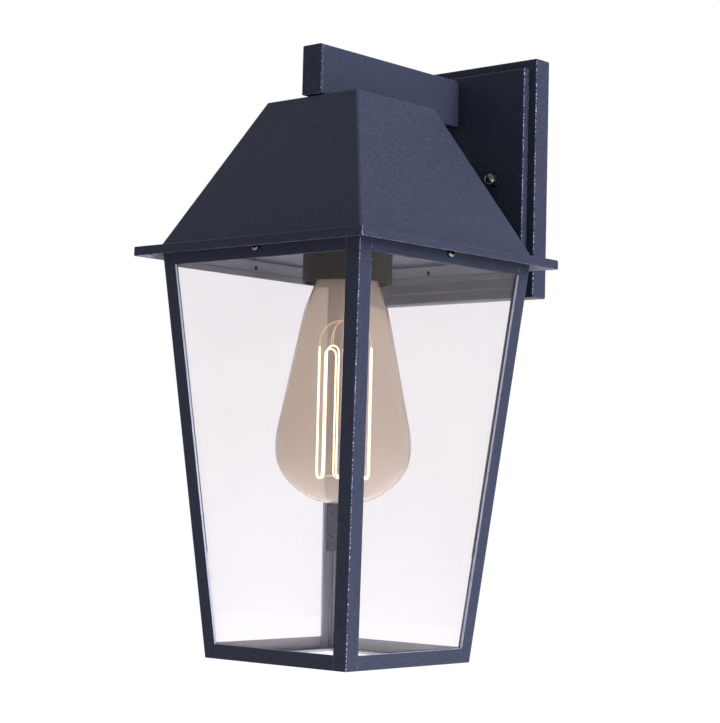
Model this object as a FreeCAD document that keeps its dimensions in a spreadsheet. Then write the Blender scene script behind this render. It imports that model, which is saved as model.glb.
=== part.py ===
"""Outdoor wall lantern: a tapered four-pane cage under a pyramid roof, hung from a bracket arm.

Millimetres. The wall is the plane Y = 0 and the lantern stands out from it along -Y. +Z is up and
+X is to the right of someone facing the wall. The origin is the middle of the wall plate's back.
Everything in the lantern head is modelled about its own axis, with Z = 0 at the top of the brim,
and then seated at the end of the arm.
"""
import FreeCAD, Part
import Sketcher
import math
import os
import re
from FreeCAD import Placement, Rotation, Vector

DRIVING_SIZES = {
    # Wall plate: one pressed pan with a raised middle.
    "plate_width": 106.0,
    "plate_height": 120.4,
    "plate_depth": 10.4,
    "plate_sheet": 1.2,
    "plate_border": 4.8,
    "plate_raise": 3.7,
    "plate_edge_radius": 0.8,
    "lead_hole_radius": 4.0,
    # Crossbar on the wall box, its two studs and what screws onto them.
    "crossbar_width": 20.0,
    "crossbar_sheet": 2.0,
    "crossbar_gap": 0.8,
    "box_screw_spacing": 88.9,
    "box_slot_length": 9.0,
    "box_slot_radius": 2.2,
    "stud_spacing": 61.0,
    "stud_radius": 2.0,
    "stud_hole_gap": 0.4,
    "stud_nut_height": 3.2,
    "stud_nut_flats": 7.0,
    "cap_nut_collar_radius": 3.6,
    "cap_nut_collar_height": 1.2,
    "cap_nut_ball_radius": 3.2,
    "cap_nut_neck_radius": 2.6,
    "cap_nut_neck_height": 2.2,
    "cap_nut_thread_depth": 4.8,
    "cap_nut_thread_gap": 0.05,
    "stud_tip_gap": 0.2,
    "ground_screw_offset": 14.0,
    "ground_screw_radius": 2.0,
    "ground_screw_stand_off": 2.6,
    "ground_head_radius": 3.8,
    "ground_head_height": 2.2,
    # Bracket arm.
    "arm_width": 12.0,
    "arm_height": 24.0,
    "arm_wall": 1.2,
    "arm_edge_radius": 0.8,
    "arm_rise": 29.5,
    "arm_overhang": 29.0,
    "arm_gap": 0.8,
    "lantern_reach": 90.0,
    # Threaded nipple that hangs the roof and the socket from the arm.
    "nipple_radius": 4.0,
    "nipple_bore": 2.8,
    "nipple_stand_up": 1.0,
    "spacer_radius": 7.0,
    "nipple_nut_flats": 12.0,
    "nipple_nut_height": 3.0,
    "washer_radius": 8.0,
    "washer_sheet": 1.0,
    # Roof and brim.
    "roof_top": 58.0,
    "roof_height": 72.5,
    "roof_sheet": 1.0,
    "roof_edge_radius": 1.4,
    "brim_overhang": 9.75,
    "brim_ledge": 8.75,
    "brim_height": 4.4,
    "brim_sheet": 1.0,
    "brim_flange_depth": 5.4,
    "brim_edge_radius": 0.6,
    "brim_corner_radius": 1.5,
    # Cage, measured over its outer faces; the drop is counted from the top of the brim.
    "cage_top_width": 127.0,
    "cage_bottom_width": 90.0,
    "cage_drop": 195.5,
    "cage_sheet": 1.2,
    "cage_fit": 0.1,
    "leg_flange": 8.0,
    "leg_edge_radius": 1.0,
    "top_rail_depth": 8.5,
    "bottom_rail_height": 7.0,
    "bottom_ledge": 6.0,
    "pane_thickness": 2.0,
    "pane_gap": 0.3,
    "retainer_width": 4.4,
    "retainer_sheet": 0.8,
    "retainer_drop": 145.5,
    "cage_screw_drop": 3.5,
    "cage_screw_radius": 1.25,
    "cage_screw_head_radius": 2.1,
    "cage_screw_head_height": 1.7,
    "cage_screw_length": 5.0,
    # Socket, hung inside the roof.
    "cover_gap": 2.0,
    "cover_sheet": 1.0,
    "cover_top": 38.0,
    "cover_drop": 14.6,
    "strap_width": 10.0,
    "strap_span": 26.0,
    "strap_sheet": 1.2,
    "strap_height": 8.0,
    "socket_wall": 4.42,
    "socket_recess": 7.0,
    "socket_roof": 5.0,
    "shell_sheet": 0.4,
    "shell_gap": 0.08,
    "shell_height": 20.0,
    "contact_radius": 5.0,
    "contact_sheet": 0.5,
    "contact_reach": 4.1,
    "contact_post_radius": 0.3,
    "socket_screw_radius": 1.5,
    "socket_screw_depth": 4.0,
    "socket_screw_head_radius": 2.7,
    "socket_screw_head_height": 1.8,
    # Bulb; its drops are counted from the button at the top of its cap.
    "bulb_length": 140.0,
    "bulb_radius": 32.0,
    "bulb_belly_drop": 112.2,
    "bulb_shoulder_radius": 18.2,
    "bulb_shoulder_drop": 42.1,
    "bulb_side_top_radius": 22.0,
    "bulb_side_top_drop": 57.5,
    "bulb_side_low_radius": 30.4,
    "bulb_side_low_drop": 99.5,
    "bulb_neck_radius": 14.0,
    "bulb_neck_drop": 31.7,
    "bulb_neck_grip": 2.0,
    "bulb_glass": 0.8,
    "bulb_cap_radius": 13.1,
    "bulb_cap_length": 20.0,
    "bulb_cap_sheet": 0.5,
    "bulb_cap_chamfer": 1.0,
    "bulb_cap_mouth_radius": 7.5,
    "bulb_insulator_height": 4.0,
    "bulb_contact_radius": 4.5,
    "bulb_contact_height": 1.5,
    "stem_radius": 4.2,
    "stem_straight_drop": 35.7,
    "stem_pinch_radius": 2.5,
    "stem_drop": 52.7,
    "stem_rod_radius": 0.9,
    "stem_rod_drop": 126.7,
    "stem_bead_radius": 2.0,
    "stem_bead_slope": 1.0,
    "filament_radius": 12.3,
    "filament_wire_radius": 0.35,
    "filament_top_drop": 64.7,
    "filament_bottom_drop": 127.2,
    "support_wire_radius": 0.2,
    # Lead wires from the socket to the wall box.
    "lead_radius": 0.9,
    "lead_spacing": 2.6,
    "lead_bend": 9.0,
    "lead_end_bend": 5.4,
    "lead_tail": 6.0,
    "connector_radius": 3.8,
    "connector_length": 18.0,
    "connector_gap": 0.4,
}

FILAMENT_LOOPS = 6
SIDE_NAMES = ("right", "rear", "left", "front")
CORNER_NAMES = ("rear_right", "rear_left", "front_left", "front_right")
NEARLY = 0.01

doc = FreeCAD.newDocument("WallLantern")
sheet = doc.addObject("Spreadsheet::Sheet", "Sizes")
for row, (alias, millimetres) in enumerate(DRIVING_SIZES.items(), start=1):
    sheet.set("A%d" % row, alias)
    sheet.set("B%d" % row, str(millimetres))
    sheet.setAlias("B%d" % row, alias)
doc.recompute()

nodes = []


# ---- Helpers -------------------------------------------------------------------------------------

def cells(text):
    """Turn a formula in plain size names into an expression on the spreadsheet."""
    def cell(match):
        word = match.group()
        return "Sizes." + word if word in DRIVING_SIZES else word
    return re.sub(r"[a-z_]+", cell, str(text))


def size(text):
    """The value in millimetres of a formula in plain size names."""
    return float(sheet.evalExpression(cells(text)))


def bind(item, **formulas):
    """Set properties of an object from formulas; a double underscore stands for a dot."""
    for name, formula in formulas.items():
        item.setExpression(name.replace("__", "."), cells(formula))
    return item


HEAD_RISE = "(arm_rise - arm_gap - roof_height)"


def finish(item, label, in_head=False, turn=0):
    """Name a finished sub-part and put it where it belongs, turned about its own Z axis."""
    item.Label = label
    item.Placement = Placement(Vector(), Rotation(Vector(0, 0, 1), turn)).multiply(item.Placement)
    if in_head:
        bind(item, Placement__Base__y="-lantern_reach", Placement__Base__z=HEAD_RISE)
    nodes.append(item)
    return item


def new_body(name):
    return doc.addObject("PartDesign::Body", name)


def new_sketch(body, plane, name, offset="0"):
    """A sketch on one of the body's origin planes, moved along the plane's normal by the offset."""
    origin_plane = [feature for feature in body.Origin.OriginFeatures if feature.Role == plane][0]
    sketch = body.newObject("Sketcher::SketchObject", name)
    sketch.AttachmentSupport = [(origin_plane, "")]
    sketch.MapMode = "FlatFace"
    if offset != "0":
        bind(sketch, AttachmentOffset__Base__z=offset)
    return sketch


def pin_point(sketch, geometry, point, across, along):
    """Fix a sketch point at two formulas, counted from the sketch's origin."""
    for kind, formula in (("DistanceX", across), ("DistanceY", along)):
        constraint = Sketcher.Constraint(kind, -1, 1, geometry, point, size(formula))
        index = sketch.addConstraint(constraint)
        sketch.setExpression("Constraints[%d]" % index, cells(formula))


def add_outline(sketch, corners):
    """A closed outline of straight lines through corners given as pairs of formulas."""
    places = [Vector(size(across), size(along), 0) for across, along in corners]
    first = sketch.GeometryCount
    count = len(places)
    for index in range(count):
        sketch.addGeometry(Part.LineSegment(places[index], places[(index + 1) % count]))
    for index, (across, along) in enumerate(corners):
        following = first + (index + 1) % count
        sketch.addConstraint(Sketcher.Constraint("Coincident", first + index, 2, following, 1))
        pin_point(sketch, first + index, 1, across, along)


def add_rectangle(sketch, half_width, half_height, middle="0"):
    """A rectangle about the sketch's vertical axis, its middle at the given height."""
    low = "%s - (%s)" % (middle, half_height)
    high = "%s + (%s)" % (middle, half_height)
    left = "-(%s)" % half_width
    add_outline(sketch, [(left, low), (half_width, low), (half_width, high), (left, high)])


def add_circle(sketch, across, along, radius):
    """A circle whose centre and radius follow formulas."""
    centre = Vector(size(across), size(along), 0)
    index = sketch.addGeometry(Part.Circle(centre, Vector(0, 0, 1), size(radius)))
    pin_point(sketch, index, 3, across, along)
    constraint = sketch.addConstraint(Sketcher.Constraint("Radius", index, size(radius)))
    sketch.setExpression("Constraints[%d]" % constraint, cells(radius))


def add_pad(body, sketch, length, backwards=False):
    pad = body.newObject("PartDesign::Pad", sketch.Name + "Pad")
    pad.Profile = sketch
    pad.Reversed = backwards
    return bind(pad, Length=length)


def add_pocket(body, sketch, length, backwards=False):
    """A pocket that has to remove material."""
    doc.recompute()
    before = body.Shape.Volume
    pocket = body.newObject("PartDesign::Pocket", sketch.Name + "Pocket")
    pocket.Profile = sketch
    pocket.Reversed = backwards
    bind(pocket, Length=length)
    doc.recompute()
    if body.Shape.Volume > before - 1e-6:
        raise ValueError("pocket %s cuts nothing" % pocket.Name)
    return pocket


def add_fillet(body, radius, wanted):
    """Round the edges of the body's tip whose two end points both pass the test."""
    doc.recompute()
    tip = body.Tip
    names = []
    for number, edge in enumerate(tip.Shape.Edges, start=1):
        ends = [vertex.Point for vertex in edge.Vertexes]
        if len(ends) == 2 and wanted(ends[0], ends[1]):
            names.append("Edge%d" % number)
    fillet = body.newObject("PartDesign::Fillet", body.Name + "Fillet")
    fillet.Base = (tip, names)
    return bind(fillet, Radius=radius)


def turned(name, corners, offset="0"):
    """A body turned about its Z axis from an outline of (radius, height) formulas."""
    body = new_body(name)
    sketch = new_sketch(body, "XZ_Plane", name + "Outline", offset)
    add_outline(sketch, corners)
    revolution = body.newObject("PartDesign::Revolution", name + "Turning")
    revolution.Profile = sketch
    revolution.ReferenceAxis = (sketch, ["V_Axis"])
    revolution.Angle = 360
    return body


def tapered_block(name, low, high, bottom, top):
    """A block between two level rectangles, each given as formulas (x_low, x_high, y_half)."""
    block = doc.addObject("Part::Wedge", name)
    block.Placement = Placement(Vector(), Rotation(Vector(1, 0, 0), 90))
    bind(block, Ymin=low, Ymax=high)
    bind(block, Xmin=bottom[0], Xmax=bottom[1], Zmin="-(%s)" % bottom[2], Zmax=bottom[2])
    bind(block, X2min=top[0], X2max=top[1], Z2min="-(%s)" % top[2], Z2max=top[2])
    return block


def box(name, x_low, x_high, y_low, y_high, z_low, z_high):
    """A box between formulas for its low and high faces."""
    block = doc.addObject("Part::Box", name)
    bind(block, Length="(%s) - (%s)" % (x_high, x_low), Width="(%s) - (%s)" % (y_high, y_low))
    bind(block, Height="(%s) - (%s)" % (z_high, z_low), Placement__Base__x=x_low)
    bind(block, Placement__Base__y=y_low, Placement__Base__z=z_low)
    return block


AXIS_TURNS = {
    "x": Rotation(Vector(0, 1, 0), 90),
    "y": Rotation(Vector(1, 0, 0), -90),
    "z": Rotation(),
}


def cylinder(name, axis, start, radius, length):
    """A cylinder from a start point of three formulas, along an axis named x, y or z."""
    rod = doc.addObject("Part::Cylinder", name)
    rod.Placement = Placement(Vector(), AXIS_TURNS[axis])
    bind(rod, Radius=radius, Height=length, Placement__Base__x=start[0])
    bind(rod, Placement__Base__y=start[1], Placement__Base__z=start[2])
    return rod


def hexagon(name, axis, start, flats, length):
    """A six-sided prism, as wide across its flats as the formula says."""
    prism = doc.addObject("Part::Prism", name)
    prism.Polygon = 6
    prism.Placement = Placement(Vector(), AXIS_TURNS[axis])
    bind(prism, Circumradius="(%s) / sqrt(3)" % flats, Height=length, Placement__Base__x=start[0])
    bind(prism, Placement__Base__y=start[1], Placement__Base__z=start[2])
    return prism


def joined(name, pieces):
    """One solid made of touching pieces."""
    fusion = doc.addObject("Part::MultiFuse", name)
    fusion.Shapes = pieces
    return fusion


def grouped(name, pieces):
    """Identical separate solids kept together as one sub-part."""
    group = doc.addObject("Part::Compound", name)
    group.Links = pieces
    return group


def cut(name, base, tools):
    """The base with the tools taken out of it."""
    result = doc.addObject("Part::Cut", name)
    result.Base = base
    result.Tool = tools[0] if len(tools) == 1 else joined(name + "Tools", tools)
    return result


def placed_shape(name, shape):
    """A shape that has no primitive or sketch of its own, already built from the sizes."""
    feature = doc.addObject("Part::Feature", name)
    feature.Shape = shape
    return feature


# ---- Wall plate ----------------------------------------------------------------------------------

PLATE_FRONT = "(plate_depth + plate_raise)"
LEAD_RISE = "(arm_rise + arm_wall + nipple_stand_up + lead_bend)"


def make_wall_plate():
    """A pan with a raised middle, open at the back, with holes for the studs and the leads."""
    body = new_body("WallPlate")
    pan = new_sketch(body, "XZ_Plane", "PlatePan")
    add_rectangle(pan, "plate_width / 2", "plate_height / 2")
    add_pad(body, pan, "plate_depth")
    middle = new_sketch(body, "XZ_Plane", "PlateMiddle")
    add_rectangle(middle, "plate_width / 2 - plate_border", "plate_height / 2 - plate_border")
    add_pad(body, middle, PLATE_FRONT)
    plate_half = size("plate_width / 2")
    middle_half = size("plate_width / 2 - plate_border")
    pan_front = -size("plate_depth")
    raised_front = -size(PLATE_FRONT)

    def on_outside(start, end):
        """The pan's four corners and the two front outlines."""
        at_side = min(abs(start.x), abs(end.x)) > plate_half - NEARLY
        at_corner = at_side and abs(start.y - end.y) > NEARLY
        on_pan = at_side and max(start.y, end.y) < pan_front + NEARLY
        on_middle = max(start.y, end.y) < raised_front + NEARLY and abs(start.x) > middle_half - NEARLY
        return at_corner or on_pan or on_middle

    add_fillet(body, "plate_edge_radius", on_outside)
    hollow = new_sketch(body, "XZ_Plane", "PlateHollow")
    add_rectangle(hollow, "plate_width / 2 - plate_sheet", "plate_height / 2 - plate_sheet")
    add_pocket(body, hollow, "plate_depth - plate_sheet", backwards=True)
    inset = "(plate_border + plate_sheet)"
    hollow_middle = new_sketch(body, "XZ_Plane", "PlateHollowMiddle")
    add_rectangle(hollow_middle, "plate_width / 2 - " + inset, "plate_height / 2 - " + inset)
    add_pocket(body, hollow_middle, PLATE_FRONT + " - plate_sheet", backwards=True)
    holes = new_sketch(body, "XZ_Plane", "PlateHoles")
    for side in ("", "-"):
        add_circle(holes, side + "stud_spacing / 2", "0", "stud_radius + stud_hole_gap")
    add_circle(holes, "0", LEAD_RISE, "lead_hole_radius")
    add_pocket(body, holes, PLATE_FRONT, backwards=True)
    finish(body, "wall_plate")


# ---- Crossbar, studs and nuts --------------------------------------------------------------------

def make_crossbar():
    """A flat steel bar with a slot near each end, tapped stud holes and a middle hole."""
    half_length = "(plate_width / 2 - plate_sheet - crossbar_gap)"
    half_width = "crossbar_width / 2"
    bar = box("CrossbarBlank", "-" + half_length, half_length, "-crossbar_sheet", "0",
              "-" + half_width, half_width)
    tools = []
    straight = "(box_slot_length / 2 - box_slot_radius)"
    for side in ("", "-"):
        middle = "(%sbox_screw_spacing / 2)" % side
        ends = [middle + " - " + straight, middle + " + " + straight]
        for number, end in enumerate(ends):
            tools.append(cylinder("SlotEnd%d" % number, "y", (end, "-crossbar_sheet", "0"),
                                  "box_slot_radius", "crossbar_sheet"))
        tools.append(box("SlotMiddle", ends[0], ends[1], "-crossbar_sheet", "0",
                         "-box_slot_radius", "box_slot_radius"))
        tools.append(cylinder("StudHole", "y", (side + "stud_spacing / 2", "-crossbar_sheet", "0"),
                              "stud_radius", "crossbar_sheet"))
    tools.append(cylinder("LeadHole", "y", ("0", "-crossbar_sheet", "0"),
                          "lead_hole_radius", "crossbar_sheet"))
    tools.append(cylinder("GroundHole", "y", ("-ground_screw_offset", "-crossbar_sheet", "0"),
                          "ground_screw_radius", "crossbar_sheet"))
    finish(cut("Crossbar", bar, tools), "mounting_crossbar")


def make_studs():
    """Two studs screwed into the crossbar, each with a hexagon nut that locks it."""
    studs = []
    nuts = []
    length = PLATE_FRONT + " + cap_nut_thread_depth - stud_tip_gap"
    for side in ("", "-"):
        across = side + "stud_spacing / 2"
        tip = "-(%s)" % length
        studs.append(cylinder("Stud", "y", (across, tip, "0"), "stud_radius", length))
        nut_face = "-crossbar_sheet - stud_nut_height"
        blank = hexagon("StudNutBlank", "y", (across, nut_face, "0"), "stud_nut_flats", "stud_nut_height")
        thread = cylinder("StudNutThread", "y", (across, nut_face, "0"), "stud_radius", "stud_nut_height")
        nuts.append(cut("StudNut", blank, [thread]))
    finish(grouped("Studs", studs), "mounting_studs")
    finish(grouped("StudNuts", nuts), "stud_lock_nuts")


def make_cap_nut(label, side):
    """A round-headed cap nut with a thin collar, blind-tapped from the back."""
    ball_centre = PLATE_FRONT + " + cap_nut_collar_height + cap_nut_neck_height"
    across = side + "stud_spacing / 2"
    ball = doc.addObject("Part::Sphere", "CapNutBall")
    bind(ball, Radius="cap_nut_ball_radius", Placement__Base__x=across)
    bind(ball, Placement__Base__y="-(%s)" % ball_centre)
    neck = cylinder("CapNutNeck", "y", (across, "-(%s)" % ball_centre, "0"),
                    "cap_nut_neck_radius", "cap_nut_neck_height")
    collar = cylinder("CapNutCollar", "y", (across, "-(%s + cap_nut_collar_height)" % PLATE_FRONT, "0"),
                      "cap_nut_collar_radius", "cap_nut_collar_height")
    thread = cylinder("CapNutThread", "y", (across, "-(%s + cap_nut_thread_depth)" % PLATE_FRONT, "0"),
                      "stud_radius + cap_nut_thread_gap", "cap_nut_thread_depth")
    finish(cut("CapNut", joined("CapNutBlank", [ball, neck, collar]), [thread]), label)


def make_ground_screw():
    """The round-headed ground screw, backed off far enough for a wire to go under its head."""
    reach = "(crossbar_sheet + ground_screw_stand_off)"
    shank = cylinder("GroundShank", "y", ("-ground_screw_offset", "-" + reach, "0"),
                     "ground_screw_radius", reach)
    head = cylinder("GroundHead", "y", ("-ground_screw_offset", "-(%s + ground_head_height)" % reach, "0"),
                    "ground_head_radius", "ground_head_height")
    finish(joined("GroundScrew", [shank, head]), "ground_screw")


# ---- Arm, nipple and their fasteners -------------------------------------------------------------

ARM_MIDDLE = "(arm_rise + arm_height / 2)"
ARM_FRONT = "(lantern_reach + arm_overhang)"


def make_arm():
    """A rectangular tube from the wall plate to a welded end cap over the roof's front edge."""
    body = new_body("Arm")
    outline = new_sketch(body, "XZ_Plane", "ArmOutline", PLATE_FRONT)
    add_rectangle(outline, "arm_width / 2", "arm_height / 2", ARM_MIDDLE)
    add_pad(body, outline, ARM_FRONT + " - arm_wall - " + PLATE_FRONT)

    def lengthwise(start, end):
        return abs(start.y - end.y) > NEARLY

    add_fillet(body, "arm_edge_radius", lengthwise)
    bore = new_sketch(body, "XZ_Plane", "ArmBore", PLATE_FRONT)
    add_rectangle(bore, "arm_width / 2 - arm_wall", "arm_height / 2 - arm_wall", ARM_MIDDLE)
    add_pocket(body, bore, ARM_FRONT, backwards=True)
    nipple_hole = new_sketch(body, "XY_Plane", "ArmNippleHole", "arm_rise")
    add_circle(nipple_hole, "0", "-lantern_reach", "nipple_radius")
    add_pocket(body, nipple_hole, "arm_wall", backwards=True)
    finish(body, "arm_tube")

    cap = new_body("ArmCap")
    cap_outline = new_sketch(cap, "XZ_Plane", "ArmCapOutline", ARM_FRONT + " - arm_wall")
    add_rectangle(cap_outline, "arm_width / 2", "arm_height / 2", ARM_MIDDLE)
    add_pad(cap, cap_outline, "arm_wall")
    add_fillet(cap, "arm_edge_radius", lengthwise)
    finish(cap, "arm_end_cap")


def ring(name, bottom, outer, inner, height):
    """A flat ring about the lantern's axis."""
    blank = cylinder(name + "Blank", "z", ("0", "0", bottom), outer, height)
    bore = cylinder(name + "Bore", "z", ("0", "0", bottom), inner, height)
    return cut(name, blank, [bore])


def nipple_nut(name, bottom):
    """A hexagon nut on the nipple."""
    blank = hexagon(name + "Blank", "z", ("0", "0", bottom), "nipple_nut_flats", "nipple_nut_height")
    bore = cylinder(name + "Bore", "z", ("0", "0", bottom), "nipple_radius", "nipple_nut_height")
    return cut(name, blank, [bore])


ROOF_INSIDE = "(roof_height - roof_sheet)"
STRAP_UNDERSIDE = "(cover_top - cover_sheet - strap_sheet)"


def make_nipple_set():
    """The threaded nipple with its spacer, washers and nuts."""
    top = "(roof_height + arm_gap + arm_wall + nipple_stand_up)"
    bottom = "(%s - nipple_nut_height - nipple_stand_up)" % STRAP_UNDERSIDE
    length = "%s - %s" % (top, bottom)
    nipple = ring("Nipple", bottom, "nipple_radius", "nipple_bore", length)
    finish(nipple, "lamp_nipple", in_head=True)
    finish(ring("Spacer", "roof_height", "spacer_radius", "nipple_radius", "arm_gap"),
           "arm_spacer", in_head=True)
    washers = [
        ring("RoofWasher", ROOF_INSIDE + " - washer_sheet",
             "washer_radius", "nipple_radius", "washer_sheet"),
        ring("CoverWasher", "cover_top", "washer_radius", "nipple_radius", "washer_sheet"),
    ]
    finish(grouped("Washers", washers), "nipple_washers", in_head=True)
    nuts = [
        nipple_nut("RoofNut", ROOF_INSIDE + " - washer_sheet - nipple_nut_height"),
        nipple_nut("CoverNut", "cover_top + washer_sheet"),
        nipple_nut("StrapNut", STRAP_UNDERSIDE + " - nipple_nut_height"),
    ]
    finish(grouped("NippleNuts", nuts), "nipple_nuts", in_head=True)


# ---- Roof and brim -------------------------------------------------------------------------------

BRIM_HALF = "(cage_top_width / 2 + brim_overhang)"
ROOF_FOOT_HALF = "(cage_top_width / 2 + brim_overhang - brim_ledge)"


def make_roof():
    """A four-sided sheet roof with a flat top, open underneath."""
    body = new_body("Roof")
    foot = new_sketch(body, "XY_Plane", "RoofFoot")
    add_rectangle(foot, ROOF_FOOT_HALF, ROOF_FOOT_HALF)
    top = new_sketch(body, "XY_Plane", "RoofTop", "roof_height")
    add_rectangle(top, "roof_top / 2", "roof_top / 2")
    outside = body.newObject("PartDesign::AdditiveLoft", "RoofOutside")
    outside.Profile = foot
    outside.Sections = [top]
    outside.Ruled = True

    inner_foot = new_sketch(body, "XY_Plane", "RoofInnerFoot")
    add_rectangle(inner_foot, ROOF_FOOT_HALF + " - roof_sheet", ROOF_FOOT_HALF + " - roof_sheet")
    inner_top = new_sketch(body, "XY_Plane", "RoofInnerTop", ROOF_INSIDE)
    slope = "((%s - roof_top / 2) / roof_height)" % ROOF_FOOT_HALF
    inner_half = "roof_top / 2 + roof_sheet * %s - roof_sheet" % slope
    add_rectangle(inner_top, inner_half, inner_half)
    inside = body.newObject("PartDesign::SubtractiveLoft", "RoofInside")
    inside.Profile = inner_foot
    inside.Sections = [inner_top]
    inside.Ruled = True
    foot_half = size(ROOF_FOOT_HALF)
    top_rise = size("roof_height")

    def on_outside(start, end):
        """The four hips and the edges round the flat top."""
        hip = abs(start.z - end.z) > NEARLY and max(abs(start.x), abs(end.x)) > foot_half - NEARLY
        return hip or min(start.z, end.z) > top_rise - NEARLY

    add_fillet(body, "roof_edge_radius", on_outside)
    hole = new_sketch(body, "XY_Plane", "RoofHole", "roof_height")
    add_circle(hole, "0", "0", "nipple_radius")
    add_pocket(body, hole, "roof_sheet")
    finish(body, "roof_shell", in_head=True)


def cage_half(drop):
    """Formula for half the cage's outer width at a drop below the top of the brim."""
    taper = "(cage_top_width - cage_bottom_width) / 2 / cage_drop"
    return "(cage_top_width / 2 - (%s) * %s)" % (drop, taper)


BRIM_FLANGE = "(%s - cage_sheet - cage_fit)" % cage_half("brim_flange_depth")


def make_brim():
    """The square brim under the roof: a flat ledge with an outer lip and an inner flange."""
    body = new_body("Brim")
    blank = new_sketch(body, "XY_Plane", "BrimBlank")
    add_rectangle(blank, BRIM_HALF, BRIM_HALF)
    add_pad(body, blank, "brim_height", backwards=True)

    def upright(start, end):
        return abs(start.z - end.z) > NEARLY

    add_fillet(body, "brim_corner_radius", upright)

    def on_ledge(start, end):
        return min(start.z, end.z) > -NEARLY

    add_fillet(body, "brim_edge_radius", on_ledge)
    channel = new_sketch(body, "XY_Plane", "BrimChannel", "-brim_sheet")
    add_rectangle(channel, BRIM_HALF + " - brim_sheet", BRIM_HALF + " - brim_sheet")
    add_pocket(body, channel, "brim_height")
    flange = new_sketch(body, "XY_Plane", "BrimFlange")
    add_rectangle(flange, BRIM_FLANGE, BRIM_FLANGE)
    add_pad(body, flange, "brim_flange_depth", backwards=True)
    opening = new_sketch(body, "XY_Plane", "BrimOpening")
    add_rectangle(opening, BRIM_FLANGE + " - brim_sheet", BRIM_FLANGE + " - brim_sheet")
    add_pocket(body, opening, "brim_flange_depth")
    screw_holes = [cylinder("BrimScrewHoles" + axis, axis, start, "cage_screw_radius", "2 * " + BRIM_HALF)
                   for axis, start in (("x", ("-" + BRIM_HALF, "0", "-cage_screw_drop")),
                                       ("y", ("0", "-" + BRIM_HALF, "-cage_screw_drop")))]
    lip_guard = box("BrimScrewReach", "-" + cage_half("0"), cage_half("0"), "-" + cage_half("0"),
                    cage_half("0"), "-brim_flange_depth", "0")
    reach = doc.addObject("Part::Common", "BrimTappedHoles")
    reach.Base = joined("BrimScrewAxes", screw_holes)
    reach.Tool = lip_guard
    finish(cut("BrimWithHoles", body, [reach]), "brim", in_head=True)


# ---- Cage ----------------------------------------------------------------------------------------

def add_slanted_pad(body, sketch, length):
    """A pad that follows the cage's corner line, leaning out along both axes as it rises."""
    pad = add_pad(body, sketch, length)
    pad.UseCustomVector = True
    pad.Direction = Vector(0, 0, 1)
    pad.AlongSketchNormal = True
    lean = "(cage_top_width - cage_bottom_width) / 2 / cage_drop"
    return bind(pad, Direction__x=lean, Direction__y=lean)


def make_leg(label, turn):
    """One corner leg: sheet angle that follows the cage's taper."""
    body = new_body("Leg")
    outline = new_sketch(body, "XY_Plane", "LegOutline", "-cage_drop")
    corner = "cage_bottom_width / 2"
    inner = corner + " - cage_sheet"
    tip = corner + " - leg_flange"
    add_outline(outline, [(corner, corner), (tip, corner), (tip, inner),
                          (inner, inner), (inner, tip), (corner, tip)])
    add_slanted_pad(body, outline, "cage_drop - brim_sheet")
    bottom_corner = size(corner)

    def outer_corner(start, end):
        low = start if start.z < end.z else end
        return abs(start.z - end.z) > NEARLY and min(low.x, low.y) > bottom_corner - NEARLY

    add_fillet(body, "leg_edge_radius", outer_corner)
    finish(body, label, in_head=True, turn=turn)


def face_strip(name, low_drop, high_drop, depth_in, thickness, shorter):
    """A strip in the cage's right face, between two drops, stopping short of the corners."""
    def section(drop):
        outer = "(%s - (%s))" % (cage_half(drop), depth_in)
        half_length = "(%s - (%s))" % (cage_half(drop), shorter)
        return ("%s - (%s)" % (outer, thickness), outer, half_length)
    return tapered_block(name, "-(%s)" % low_drop, "-(%s)" % high_drop,
                         section(low_drop), section(high_drop))


def make_top_rail(label, turn):
    """A flat rail under the brim, between two legs, with a hole for the cage screw."""
    strip = face_strip("TopRailStrip", "top_rail_depth", "brim_sheet", "0", "cage_sheet", "leg_flange")
    hole = cylinder("TopRailHole", "x", ("cage_bottom_width / 2", "0", "-cage_screw_drop"),
                    "cage_screw_radius", "cage_top_width / 2")
    finish(cut("TopRail", strip, [hole]), label, in_head=True, turn=turn)


def make_bottom_rail(label, turn):
    """An angle rail along the bottom: an outer flange, and a ledge that the pane stands on."""
    flange = face_strip("BottomRailFlange", "cage_drop", "cage_drop - bottom_rail_height", "0",
                        "cage_sheet", "leg_flange")
    inner = "(cage_bottom_width / 2 - cage_sheet)"
    ledge_edge = "(cage_bottom_width / 2 - cage_sheet - bottom_ledge)"
    ledge = doc.addObject("Part::Wedge", "BottomRailLedge")
    ledge.Placement = Placement(Vector(), Rotation(Vector(0, 0, 1), -90))
    bind(ledge, Ymin=ledge_edge, Ymax=inner, Xmin="-" + ledge_edge, Xmax=ledge_edge)
    bind(ledge, X2min="-" + inner, X2max=inner)
    bind(ledge, Zmin="-cage_drop", Zmax="-cage_drop + cage_sheet")
    bind(ledge, Z2min="-cage_drop", Z2max="-cage_drop + cage_sheet")
    between_legs = "(cage_bottom_width / 2 - leg_flange)"
    bend = box("BottomRailBend", inner + " - cage_sheet", inner + " + cage_sheet / 2",
               "-" + between_legs, between_legs, "-cage_drop", "-cage_drop + cage_sheet")
    finish(joined("BottomRail", [flange, ledge, bend]), label, in_head=True, turn=turn)


def make_pane(label, turn):
    """One tapered glass pane, standing on the ledge behind the flanges of two legs."""
    pane = face_strip("Pane", "cage_drop - cage_sheet", "brim_flange_depth + pane_gap", "cage_sheet",
                      "pane_thickness", "cage_sheet + pane_thickness + pane_gap")
    finish(pane, label, in_head=True, turn=turn)


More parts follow.
